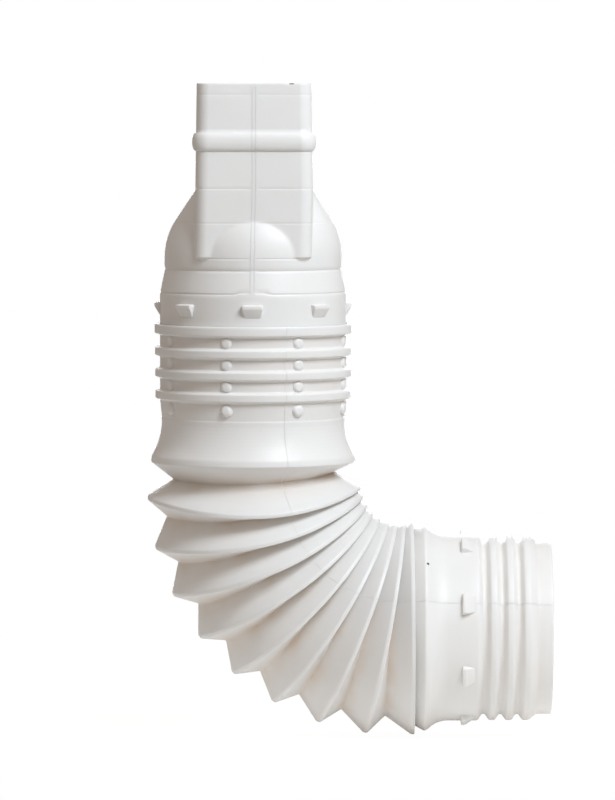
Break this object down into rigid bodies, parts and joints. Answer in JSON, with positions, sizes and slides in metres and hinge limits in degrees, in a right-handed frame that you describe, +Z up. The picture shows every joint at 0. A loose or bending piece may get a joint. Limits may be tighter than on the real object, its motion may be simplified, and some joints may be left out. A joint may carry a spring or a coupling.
{
  "type": "flexible downspout extension",
  "caption": "Rectangular-to-round adapter snapped into a ringed socket, with a bent bellows elbow and a ringed round outlet that leads roof water away from a wall.",
  "frame": {"origin": "Centre of the inlet's top rim, where the downspout enters.", "axes": "Z is up along the inlet, X points along the outlet's axis out of the bend, and Y runs across the bend, with -Y towards the picture's viewer."},
  "size_m": [0.2242, 0.1188, 0.3624],
  "materials": {
    "adapter_plastic": "satin, blow-moulded white plastic",
    "elbow_plastic": "satin, blow-moulded white plastic"
  },
  "bodies": {
    "adapter": {"downspout_adapter": "adapter_plastic"},
    "elbow": {"flexible_elbow": "elbow_plastic"}
  },
  "joints": [
    {"name": "snap_swivel", "type": "hinge", "parent": "adapter", "child": "elbow", "pos_m": [0, 0, -0.16], "axis": [0, 0, 1], "continuous": true}
  ]
}
